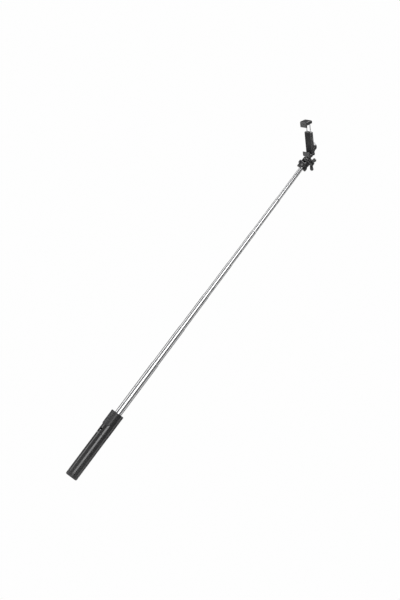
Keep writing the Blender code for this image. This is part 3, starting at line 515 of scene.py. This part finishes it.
def make_hub():
    rim = arc((HUB_R - 1.0 * MM, HUB_TOP - 1.0 * MM), 1.0 * MM, 0, 90, 7)
    seat = bush_high.x + CLEAR
    bore = 10.6 * MM
    profile = (
        [(HUB_R - 0.35 * MM, HUB_FLOOR), (HUB_R - 0.1 * MM, HUB_FLOOR + 0.1 * MM)]
        + [(HUB_R, HUB_FLOOR + 0.35 * MM)]
        + rim
        + [(seat + 0.3 * MM, HUB_TOP), (seat, HUB_TOP - 0.3 * MM)]
        + [(seat, bush_low.z - 0.7 * MM), (bore, bush_low.z - 0.7 * MM)]
        + [(bore, HUB_FLOOR + 0.3 * MM), (bore + 0.3 * MM, HUB_FLOOR)]
    )
    hub = turned("hub_body", profile, 144)
    cut(hub, panel("recess", 0.3 * MM, PANEL_BACK - 0.3 * MM, PANEL_R + 3 * MM, HUB_TOP + 2 * MM))
    belly = 8.5 * MM
    cut(
        hub,
        block(
            "belly_recess",
            (12.2 * MM, -belly, BELLY_FLOOR - 0.3 * MM),
            (15.6 * MM, belly, HUB_TOP + 0.5 * MM),
            REMOTE_TURN,
        ),
    )
    for number, turn in enumerate(LEG_TURNS):
        pin_low, pin_high = extent(f"leg_hinge_pin_{number + 1}", turn)
        half = 3.5 * MM
        top = (pin_low.z + pin_high.z) / 2 + 5.3 * MM
        corner = 0.9 * MM
        outline = (
            [(half, HUB_FLOOR - 2 * MM)]
            + arc((half - corner, top - corner), corner, 0, 90, 5)
            + arc((corner - half, top - corner), corner, 90, 180, 5)
            + [(-half, HUB_FLOOR - 2 * MM)]
        )
        cut(hub, prism("slot", outline, 9.5 * MM, FAR, turn, "X"))
        centre = ((pin_low.x + pin_high.x) / 2, 0, (pin_low.z + pin_high.z) / 2)
        ends = (pin_low.y - CLEAR, pin_high.y + CLEAR)
        cut(hub, rod("hole", PIN_HOLE, *ends, turn, "Y", centre, 24))
        node = f"leg_hinge_pin_{number + 1}"
        pin = rod(node, PIN_RADIUS, pin_low.y, pin_high.y, turn, "Y", centre, 32, 0.2 * MM)
        finish(pin, node)
    finish(hub, "hub_body")

    slide = tube_boxes[0][1].x + 0.04 * MM
    outline = (
        [(bush_low.x * -1 - 0.4 * MM, bush_low.z), (bush_high.x, bush_low.z + 0.4 * MM)]
        + arc((bush_high.x - 0.5 * MM, bush_high.z - 0.5 * MM), 0.5 * MM, 0, 90, 4)
        + [(slide + 0.41 * MM, bush_high.z), (slide, bush_high.z - 0.4 * MM)]
        + [(slide, bush_low.z)]
    )
    finish(turned("hub_bush", outline, TUBE_STEPS), "hub_bush")


make_hub()

# --- Legs and feet ----------------------------------------------------------------------------


def make_leg(number):
    turn = LEG_TURNS[number]
    node = f"leg_{number + 1}"
    low = extent(node, turn)[0]
    foot_high = extent(f"foot_cap_{number + 1}", turn)[1]
    pin_low, pin_high = extent(f"leg_hinge_pin_{number + 1}", turn)
    pin = ((pin_low.x + pin_high.x) / 2, (pin_low.z + pin_high.z) / 2)
    outer, inner, half = 16.0 * MM, 10.9 * MM, 59.3
    top, bottom = HUB_FLOOR - 0.5 * MM, foot_high.z + 0.3 * MM
    leg = prism(node, sector(inner, outer, half, 56), bottom, top, turn)
    bevel(leg, 0.35 * MM, 3, 40)
    ribs = 7
    span = (bottom + 6 * MM, top - 14 * MM)
    cell = (span[1] - span[0]) / ribs
    for k in range(ribs):
        pocket = prism(
            "pocket",
            sector(inner - 2 * MM, outer - 2.2 * MM, half - 9, 28),
            span[0] + k * cell + 0.5 * MM,
            span[0] + (k + 1) * cell - 0.5 * MM,
            turn,
        )
        cut(leg, pocket)
    peg = prism("peg", sector(11.8 * MM, 14.6 * MM, 50, 28), low.z, bottom + 1 * MM, turn)
    foot = top - 3 * MM
    front = outer + 0.05 * MM
    step = top + 3.8 * MM
    radius = 2.3 * MM
    outline = (
        [(front, foot)]
        + arc((front - 1.2 * MM, step - 1.2 * MM), 1.2 * MM, 0, 80, 5)
        + [(pin[0] + 1.4 * MM, step + 0.5 * MM)]
        + arc(pin, radius, -30, 180, 20)
        + [(pin[0] - radius + 0.2 * MM, foot)]
    )
    tab = prism("tab", outline, -3.2 * MM, 3.2 * MM, turn, "Y")
    bevel(tab, 0.3 * MM, 2, 40)
    eye = rod("eye", PIN_HOLE, -7 * MM, 7 * MM, turn, "Y", (pin[0], 0, pin[1]), 24)
    fork_low = (pin[0] - 0.6 * MM, -2.1 * MM, pin[1] - 1.5 * MM)
    fork = block("fork", fork_low, (FAR, 2.1 * MM, pin[1] + 4 * MM), turn)
    cut(join(leg, peg, tab), eye, fork)
    finish(leg, node)


def make_foot(number):
    turn = LEG_TURNS[number]
    node = f"foot_cap_{number + 1}"
    low, high = extent(node, turn)
    outer, inner = 16.0 * MM, 3.0 * MM
    corner = 3.5 * MM
    grooves = []
    for height in (low.z + 6.4 * MM, low.z + 7.9 * MM, low.z + 9.4 * MM):
        grooves += [
            (outer, height - 0.25 * MM),
            (outer - 0.22 * MM, height),
            (outer, height + 0.25 * MM),
        ]
    profile = (
        [(inner, low.z)]
        + arc((outer - corner, low.z + corner), corner, -90, 0, 12)
        + grooves
        + [(outer, high.z - 0.3 * MM), (outer - 0.3 * MM, high.z), (inner, high.z)]
    )
    foot = turned(node, profile, 144, turn)
    wedge = prism(
        "wedge", [(0.2 * MM, 0)] + arc((0.2 * MM, 0), 0.03, -59.3, 59.3, 4), low.z - 5 * MM,
        high.z + 5 * MM, turn,
    )
    socket = prism(
        "socket", sector(11.5 * MM, 14.9 * MM, 51.5, 28), low.z + 5 * MM - 0.3 * MM,
        high.z + 1 * MM, turn,
    )
    combine(foot, "INTERSECT", wedge)
    cut(foot, socket)
    for angle in (-40, -20, 0, 20, 40):
        tread = block(
            "tread", (5 * MM, -0.35 * MM, low.z - 1 * MM), (11.5 * MM, 0.35 * MM, low.z + 0.5 * MM),
            turn @ Matrix.Rotation(radians(angle), 4, "Z"),
        )
        cut(foot, tread)
    finish(foot, node, material=FOOT_RUBBER)


for leg_number in range(len(LEG_TURNS)):
    make_leg(leg_number)
    make_foot(leg_number)

# --- Remote -----------------------------------------------------------------------------------


def make_remote():
    low, high = extent("remote_button", REMOTE_TURN)
    height = (low.z + high.z) / 2
    radius = (high.z - low.z) / 2
    casing = panel("remote_casing", 0.0, PANEL_BACK, PANEL_R, HUB_TOP)
    bevel(casing, 1.2 * MM, 5, 40)
    back_low, back_high = extent("remote_back_cover", REMOTE_TURN)
    belly = block(
        "belly",
        (back_low.x, -8.2 * MM, BELLY_FLOOR),
        (PANEL_BACK + 1 * MM, 8.2 * MM, HUB_TOP - 2 * MM),
        REMOTE_TURN,
    )
    bevel(belly, 0.3 * MM, 2, 40)
    join(casing, belly)
    cut(
        casing,
        block(
            "pocket",
            (back_low.x - 1 * MM, back_low.y - CLEAR, back_low.z - CLEAR),
            (15.8 * MM, back_high.y + CLEAR, back_high.z + CLEAR),
            REMOTE_TURN,
        ),
    )
    cut(casing, rod("hole", radius + 0.2 * MM, 15 * MM, FAR, REMOTE_TURN, "X", (0, 0, height)))
    dish = PANEL_R - 0.45 * MM
    ring = turned(
        "ring",
        [(radius + 0.9 * MM, dish), (radius + 1.3 * MM, dish)]
        + [(radius + 1.6 * MM, FAR), (radius + 0.7 * MM, FAR)],
        64,
        REMOTE_TURN @ Matrix.Translation((0, 0, height)),
        "X",
    )
    cut(casing, ring)
    light = (0, 0, height + 9 * MM)
    cut(casing, rod("light", 0.55 * MM, PANEL_R - 0.6 * MM, FAR, REMOTE_TURN, "X", light, 24))
    for k in range(4):
        groove_height = remote_low.z + 3.2 * MM + 1.5 * MM * k
        half = (3.2 + 0.7 * k) * MM
        groove = block(
            "grip",
            (PANEL_R - 0.28 * MM, -half, groove_height - 0.3 * MM),
            (FAR, half, groove_height + 0.3 * MM),
            REMOTE_TURN,
        )
        cut(casing, groove)
    finish(casing, "remote_casing")

    crown = high.x
    dip = 0.35 * MM
    face = [
        (radius * k / 10, crown - dip * (1 - (k / 10) ** 2)) for k in range(0, 10)
    ]
    profile = (
        [(0, low.x), (radius, low.x)]
        + [(radius, crown - 0.35 * MM), (radius - 0.1 * MM, crown - 0.1 * MM)]
        + face[::-1]
    )
    place = REMOTE_TURN @ Matrix.Translation((0, 0, height))
    finish(turned("remote_button", profile, 64, place, "X"), "remote_button")

    depth = (PANEL_R - 1.1 * MM, PANEL_R - 0.25 * MM)
    lens = rod("remote_light", 0.5 * MM, *depth, REMOTE_TURN, "X", light, 24, 0.15 * MM)
    finish(lens, "remote_casing", slot="nylon", replace=False)


make_remote()

# --- Head socket, bolt, washers and wing knob ---------------------------------------------------


def make_socket():
    bottom = extent("head_socket", YOKE)[0].z
    tube_r = tube_boxes[-1][1].x
    collar, waist = 12.2 * MM, 10.0 * MM
    shoulder = -15.0 * MM
    profile = (
        [(0, bottom), (collar - 2.6 * MM, bottom)]
        + arc((collar - 2.6 * MM, bottom + 2.6 * MM), 2.6 * MM, -80, 0, 9)
        + [(collar, shoulder - 4.6 * MM), (collar - 0.35 * MM, shoulder - 4.3 * MM)]
        + [(collar, shoulder - 4.0 * MM), (collar, shoulder - 3.5 * MM)]
        + [(waist, shoulder + 1.0 * MM), (waist, shoulder + 3.0 * MM), (0, shoulder + 3.0 * MM)]
    )
    socket = turned("head_socket", profile, 112, YOKE)
    body = block(
        "body", (-13.5 * MM, -8.5 * MM, -17.5 * MM), (8.2 * MM, 8.5 * MM, -8.0 * MM), YOKE
    )
    bevel(body, 2.6 * MM, 8)
    join(socket, body)
    for first, second in ((-8.6, -5.2), (5.2, 8.6)):
        outline = [(8 * MM, -12 * MM)] + arc((0, 0), 8 * MM, 0, 180, 40) + [(-8 * MM, -12 * MM)]
        ear = prism("ear", outline, first * MM, second * MM, YOKE, "X")
        join(socket, bevel(ear, 0.5 * MM, 3, 50))
    bore = rod("bore", tube_r + CLEAR, bottom - 2 * MM, bottom + 16.3 * MM, YOKE, steps=96)
    turn_back = YOKE @ Matrix.Rotation(-atan2(TILT_AXIS.y, TILT_AXIS.x), 4, "Z")
    arch = rod("arch", 6.6 * MM, -FAR, FAR, turn_back, "Y", (0, 0, bottom - 2.2 * MM), 64)
    recess = rod("recess", 4.9 * MM, -FAR, -6.8 * MM, YOKE, "X", steps=6)
    hole = rod("hole", 2.55 * MM, -FAR, FAR, YOKE, "X")
    cut(socket, bore, arch, recess, hole)
    finish(socket, "head_socket", 40)


def make_bolt():
    low, high = extent("tilt_bolt", YOKE)
    head_end = -7.1 * MM
    shank = rod("tilt_bolt", 2.4 * MM, -8.6 * MM, high.x, YOKE, "X", steps=64, edge=0.3 * MM)
    head = rod("head", 4.6 * MM, low.x, head_end, YOKE, "X", steps=6)
    ends = (low.x - 0.02 * MM, head_end + 1 * MM)
    dome = rod("dome", 4.5 * MM, *ends, YOKE, "X", steps=64, edge=0.7 * MM)
    combine(head, "INTERSECT", dome)
    finish(join(shank, head), "tilt_bolt", 25)
    for node in ("tilt_washer_left", "tilt_washer_right", "knob_washer"):
        a, b = extent(node, YOKE)
        radius = b.z
        profile = (
            [(2.6 * MM, a.x), (radius - 0.1 * MM, a.x), (radius, a.x + 0.12 * MM)]
            + [(radius, b.x - 0.12 * MM), (radius - 0.1 * MM, b.x), (2.6 * MM, b.x)]
        )
        finish(turned(node, profile, 72, YOKE, "X"), node)


def make_knob():
    start = extent("tilt_wing_knob", YOKE)[0].x
    length = 9.0 * MM
    hub = 6.6 * MM
    outwards = Matrix.Translation((start, 0, 0)) @ Matrix.Rotation(pi / 2, 4, "Y")
    spin = YOKE @ outwards @ Matrix.Rotation(radians(38), 4, "Z")
    profile = (
        [(0, 0), (hub - 0.4 * MM, 0), (hub, 0.4 * MM), (hub, 2.0 * MM)]
        + [(hub - 0.8 * MM, length - 2.4 * MM)]
        + arc((hub - 2.4 * MM, length - 1.6 * MM), 1.6 * MM, 10, 90, 6)
        + [(hub - 3.2 * MM, length), (hub - 3.6 * MM, length - 0.4 * MM), (0, length - 0.4 * MM)]
    )
    knob = turned("tilt_wing_knob", profile, 96, spin)
    reach, tip = 13.2 * MM, 4.6 * MM
    for angle in (0, 180):
        side = spin @ Matrix.Rotation(radians(angle), 4, "Z")
        outline = (
            [(3 * MM, 1.6 * MM), (7.5 * MM, 2.2 * MM)]
            + arc((reach, length + 5.0 * MM - tip), tip, -60, 150, 28)
            + [(3 * MM, length - 0.8 * MM)]
        )
        wing = prism("wing", outline, -1.8 * MM, 1.8 * MM, side, "Y")
        join(knob, bevel(wing, 0.9 * MM, 5, 50))
        for face in (-1, 1):
            for k in range(4):
                place = (reach - 2.4 * MM + 1.6 * MM * k, face * 1.92 * MM, 0)
                ends = (length + 0.4 * MM - 2.2 * MM, length + 0.4 * MM + 2.2 * MM)
                cut(knob, rod("rib", 0.35 * MM, *ends, side, "Z", place, 12))
    bore = rod("bore", 3.7 * MM, -1 * MM, 7.6 * MM, spin, steps=6)
    cut(knob, bore)
    finish(knob, "tilt_wing_knob", 35)


make_socket()
make_bolt()
make_knob()

# --- Arm and swivel -----------------------------------------------------------------------------


def make_arm():
    low, high = extent("tilt_arm", ARM)
    length = (SWIVEL_POINT - TILT_POINT).length
    knuckle = rod("tilt_arm", 7.5 * MM, -4.2 * MM, 4.2 * MM, ARM, "X", steps=96, edge=0.5 * MM)
    neck, wide = 4.0 * MM, 6.5 * MM
    shoulder = 10.5 * MM
    outline = (
        [(-neck, 0.0), (neck, 0.0), (neck, shoulder), (wide, shoulder + 1.5 * MM)]
        + arc((0, length), 10 * MM, -35, 215, 56)
        + [(-wide, shoulder + 1.5 * MM), (-neck, shoulder)]
    )
    plate = prism("plate", outline, 0.0, high.y, ARM, "Y")
    bevel(plate, 0.8 * MM, 4, 25)
    join(knuckle, plate)
    tilt_hole = rod("tilt_hole", 2.54 * MM, -FAR, FAR, ARM, "X")
    place = (0, 0, length)
    swivel_hole = rod("swivel_hole", 2.14 * MM, -FAR, FAR, ARM, "Y", place)
    recess = rod("recess", 4.2 * MM, high.y - 2.5 * MM, FAR, ARM, "Y", place, 64)
    panel_outline = (
        arc((0, length - 14.5 * MM), 3.2 * MM, 0, 180, 16)
        + arc((0, shoulder + 6.5 * MM), 3.2 * MM, 180, 360, 16)
    )
    panel_cut = prism("panel_cut", panel_outline, high.y - 0.6 * MM, FAR, ARM, "Y")
    ring = turned(
        "ring",
        [(8.0 * MM, high.y - 0.4 * MM), (8.5 * MM, high.y - 0.4 * MM)]
        + [(8.7 * MM, FAR), (7.8 * MM, FAR)],
        72, ARM @ Matrix.Translation(place), "Y",
    )
    cut(knuckle, tilt_hole, swivel_hole, recess, panel_cut, ring)
    finish(knuckle, "tilt_arm", 38)

    low, high = extent("swivel_screw", CLAMP)
    seat = high.y - 1.9 * MM
    ends = (low.y, seat + 0.5 * MM)
    screw = rod("swivel_screw", 2.0 * MM, *ends, CLAMP, "Y", steps=48, edge=0.2 * MM)
    head = rod("head", 3.7 * MM, seat, high.y, CLAMP, "Y", steps=64, edge=0.5 * MM)
    join(screw, head)
    cross = []
    for x, z in ((2.0 * MM, 0.35 * MM), (0.35 * MM, 2.0 * MM)):
        cross.append(block("cross", (-x, high.y - 1.0 * MM, -z), (x, FAR, z), CLAMP))
    finish(cut(screw, *cross), "swivel_screw", 30)


make_arm()

# --- Phone clamp ----------------------------------------------------------------------------------

housing_low, housing_high = extent("clamp_housing", CLAMP)
upper_low, upper_high = extent("upper_jaw", CLAMP)
pad_low, pad_high = extent("clamp_back_pad", CLAMP)
lower_pad_low, lower_pad_high = extent("lower_jaw_pad", CLAMP)
upper_pad_low, upper_pad_high = extent("upper_jaw_pad", CLAMP)
HALF = upper_high.x
BACK = -1.4 * MM
FRONT = pad_high.y
LIP = 3.0 * MM
PAD = 1.0 * MM


def hook(base, thick, direction, lip_front, rise):
    """Side view of a jaw: a ledge along the phone's edge with a rounded lip in front of it."""
    outer = base - direction * thick
    tip = base + direction * (PAD + rise)
    lip_back = lip_front + LIP
    back = (BACK - 3 * MM, outer + direction * 3 * MM)
    front = (lip_front + 3.5 * MM, outer + direction * 3.5 * MM)
    crown = (lip_front + LIP / 2, tip - direction * LIP / 2)
    return (
        arc(back, 3 * MM, 0, -90 * direction, 12)
        + arc(front, 3.5 * MM, -90 * direction, -180 * direction, 12)
        + arc(crown, LIP / 2, 180 * direction, 0, 16)
        + [(lip_back, base), (BACK, base)]
    )


def jaw_ribs(jaw, outer, direction, lip_front):
    """Three grip lines across the lip's front face."""
    for k in range(3):
        place = (0, lip_front, outer + direction * (4.4 + 1.6 * k) * MM)
        reach = HALF - 2.4 * MM
        cut(jaw, rod("groove", 0.32 * MM, -reach, reach, CLAMP, "X", place, 14))


def ribbed_pad(node, low, high, face, count):
    """A rubber pad with rows of small ribs on the face that meets the phone."""
    piece = block(node, low, high, CLAMP)
    bevel(piece, 0.22 * MM, 2)
    inset = 1.1 * MM
    for k in range(count):
        share = (k + 0.5) / count
        if face == "front":
            height = low.z + (high.z - low.z) * share
            a = (low.x + inset, low.y - 1 * MM, height - 0.28 * MM)
            b = (high.x - inset, low.y + 0.35 * MM, height + 0.28 * MM)
        else:
            x = low.x + (high.x - low.x) * share
            a = (x - 0.28 * MM, low.y + inset, 0)
            b = (x + 0.28 * MM, high.y - inset, 0)
            if face == "top":
                a, b = Vector((*a[:2], high.z - 0.35 * MM)), Vector((*b[:2], high.z + 1 * MM))
            else:
                a, b = Vector((*a[:2], low.z - 1 * MM)), Vector((*b[:2], low.z + 0.35 * MM))
        cut(piece, block("line", a, b, CLAMP))
    finish(piece, node)


def make_clamp():
    low, high = housing_low, housing_high
    floor = lower_pad_low.z - CLEAR
    lip_front = low.y
    roof_z = high.z
    half = HALF - 0.2 * MM
    housing = block(
        "clamp_housing",
        (-half, FRONT - CLEAR, floor - 3 * MM),
        (half, BACK - 0.1 * MM, roof_z),
        CLAMP,
    )
    bevel(housing, 1.4 * MM, 5)
    rise = 5.5 * MM
    jaw = prism("jaw", hook(floor, 5.5 * MM, 1, lip_front, rise), -HALF, HALF, CLAMP, "X")
    bevel(jaw, 0.8 * MM, 4, 50)
    jaw_ribs(jaw, floor - 5.5 * MM, 1, lip_front)
    join(housing, jaw)
    wall = 2.0 * MM
    front_face = pad_high.y + CLEAR
    tray = block(
        "tray",
        (-HALF + wall, front_face - 1.2 * MM, floor + wall),
        (HALF - wall, BACK - wall, roof_z - wall),
        CLAMP,
    )
    cut(housing, tray, rod("hole", 2.2 * MM, -12 * MM, 0, CLAMP, "Y"))
    for node in ("jaw_guide_rod_left", "jaw_guide_rod_right"):
        a, b = extent(node, CLAMP)
        centre = ((a.x + b.x) / 2, (a.y + b.y) / 2, 0)
        radius = (b.x - a.x) / 2
        ends = (roof_z - 10 * MM, roof_z + 10 * MM)
        cut(housing, rod("hole", radius + 0.08 * MM, *ends, CLAMP, "Z", centre))
        sink = turned(
            "sink",
            [(0, roof_z - 0.5 * MM), (radius + 0.1 * MM, roof_z - 0.5 * MM)]
            + [(radius + 0.9 * MM, roof_z + 0.4 * MM), (0, roof_z + 0.4 * MM)],
            48, CLAMP @ Matrix.Translation(centre),
        )
        cut(housing, sink)
        guide = rod(node, radius, a.z, b.z, CLAMP, "Z", centre, 56, 0.25 * MM)
        finish(guide, node)
    for side in (-1, 1):
        for k in range(5):
            place = (side * (HALF - 0.1 * MM), 0, 20 * MM + 2.2 * MM * k)
            ends = (BACK - 7.2 * MM, BACK - 2.2 * MM)
            cut(housing, rod("groove", 0.45 * MM, *ends, CLAMP, "Y", place, 14))
    finish(housing, "clamp_housing", 38)

    roof = upper_pad_high.z + CLEAR
    jaw = prism("upper_jaw", hook(roof, 8 * MM, -1, upper_low.y, rise), -HALF, HALF, CLAMP, "X")
    bevel(jaw, 0.8 * MM, 4, 50)
    jaw_ribs(jaw, roof + 8 * MM, -1, upper_low.y)
    for node in ("jaw_guide_rod_left", "jaw_guide_rod_right"):
        a, b = extent(node, CLAMP)
        centre = ((a.x + b.x) / 2, (a.y + b.y) / 2, 0)
        cut(jaw, rod("hole", 1.5 * MM, roof - 1 * MM, b.z + CLEAR, CLAMP, "Z", centre))
    place = (0, (upper_low.y + BACK) / 2, roof + 8 * MM + 29.5 * MM)
    scoop = rod("scoop", 30 * MM, -6 * MM, 6 * MM, CLAMP, "X", place, 160)
    cut(jaw, bevel(scoop, 0.4 * MM, 2, 50))
    finish(jaw, "upper_jaw", 38)

    ribbed_pad("clamp_back_pad", pad_low, pad_high, "front", 12)
    ribbed_pad("lower_jaw_pad", lower_pad_low, lower_pad_high, "top", 8)
    ribbed_pad("upper_jaw_pad", upper_pad_low, upper_pad_high, "bottom", 8)


make_clamp()


def make_springs():
    """The closing springs, which the clips press against the housing's roof as the jaws open."""
    for node in ("clamp_spring_left", "clamp_spring_right"):
        mesh = frame["nodes"][node].data.copy()
        mesh.materials.clear()
        mesh.transform(CLAMP.inverted())
        spring = finish(new_object(node, mesh, CLAMP), node, 60)
        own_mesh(spring)


make_springs()

# --- Floor, light and camera ----------------------------------------------------------------------

floor_mesh = bpy.data.meshes.new("floor")
size = 40.0
level = cad_low.z - 0.0002
floor_mesh.from_pydata(
    [(-size, -size, level), (size, -size, level), (size, size, level), (-size, size, level)],
    [],
    [(0, 1, 2, 3)],
)
floor = new_object("floor", floor_mesh)
pale = Graph("pale_floor")
floor.data.materials.append(
    pale.finish(
        pale.mix(pale.span(pale.noise(3.0, 2.0), 0.0, 1.0), (0.78, 0.78, 0.78), (0.82, 0.82, 0.82)),
        pale.span(pale.noise(8.0, 2.0), 0.6, 0.75),
    )
)

world = bpy.data.worlds.new("studio")
scene.world = world
world.use_nodes = True
tree = world.node_tree
background = tree.nodes["Background"]


def world_node(kind, **settings):
    node = tree.nodes.new(kind)
    for key, value in settings.items():
        setattr(node, key, value)
    return node


def lobe(direction, power, gain):
    """A soft brightening of the studio towards one direction."""
    place = world_node("ShaderNodeTexCoord")
    dot = world_node("ShaderNodeVectorMath", operation="DOT_PRODUCT")
    tree.links.new(place.outputs["Generated"], dot.inputs[0])
    dot.inputs[1].default_value = Vector(direction).normalized()
    above = world_node("ShaderNodeMath", operation="MAXIMUM")
    tree.links.new(dot.outputs["Value"], above.inputs[0])
    above.inputs[1].default_value = 0.0
    raised = world_node("ShaderNodeMath", operation="POWER")
    tree.links.new(above.outputs[0], raised.inputs[0])
    raised.inputs[1].default_value = power
    scaled = world_node("ShaderNodeMath", operation="MULTIPLY")
    tree.links.new(raised.outputs[0], scaled.inputs[0])
    scaled.inputs[1].default_value = gain
    return scaled.outputs[0]


def total(*values):
    result = values[0]
    for value in values[1:]:
        node = world_node("ShaderNodeMath", operation="ADD")
        tree.links.new(result, node.inputs[0])
        tree.links.new(value, node.inputs[1])
        result = node.outputs[0]
    return result


base = world_node("ShaderNodeValue")
base.outputs[0].default_value = 0.04
behind = lobe((0.0, 1.0, 0.0), 60.0, 0.95)
left = lobe((-1.0, -0.25, 0.1), 1.4, 0.18)
right_side = lobe((1.0, 0.2, 0.0), 8.0, 0.30)
above = lobe((0.0, 0.0, 1.0), 1.5, 0.5)
strength = total(base.outputs[0], behind, left, right_side, above)
tree.links.new(strength, background.inputs["Strength"])
background.inputs["Color"].default_value = (1.0, 1.0, 1.0, 1.0)

scene.view_settings.view_transform = "Standard"
scene.view_settings.look = "None"


def softbox(name, azimuth, distance, height, width, length, power):
    """A tall area light at an azimuth from the front, aimed at the middle of the pole."""
    data = bpy.data.lights.new(name, "AREA")
    data.shape = "RECTANGLE"
    data.size = width
    data.size_y = length
    data.energy = power
    light = bpy.data.objects.new(name, data)
    scene.collection.objects.link(light)
    a = radians(azimuth)
    middle = Vector((0, 0, (cad_low.z + cad_high.z) / 2))
    light.location = middle + Vector((distance * sin(a), -distance * cos(a), height))
    light.rotation_mode = "QUATERNION"
    light.rotation_quaternion = (middle - light.location).to_track_quat("-Z", "Y")
    return light


softbox("front_softbox", -2, 1.6, -0.15, 0.80, 1.06, 8.2)
softbox("left_strip", -86, 1.5, 0.0, 0.42, 1.9, 5.0)
softbox("key_softbox", -50, 1.3, 1.5, 0.9, 0.9, 9.0)
softbox("right_strip", 91, 1.5, 0.0, 0.20, 1.9, 1.6)
softbox("top_softbox", 0, 0.01, 2.2, 1.6, 1.6, 60.0)

IMAGE_HEIGHT = 600
METRES_PER_PIXEL = 2.4 * MM
LEAN = radians(36.74)
camera_data = bpy.data.cameras.new("camera")
camera_data.type = "ORTHO"
camera_data.ortho_scale = IMAGE_HEIGHT * METRES_PER_PIXEL
camera = bpy.data.objects.new("camera", camera_data)
scene.collection.objects.link(camera)
scene.camera = camera
right = Vector((cos(LEAN), 0, sin(LEAN)))
upward = Vector((-sin(LEAN), 0, cos(LEAN)))
aim = Vector((-0.0057, 0.0, 0.4311))
camera.matrix_world = columns(right, upward, Vector((0, -1, 0)), aim + Vector((0, -2.0, 0)))
camera_data.clip_start, camera_data.clip_end = 0.05, 20.0
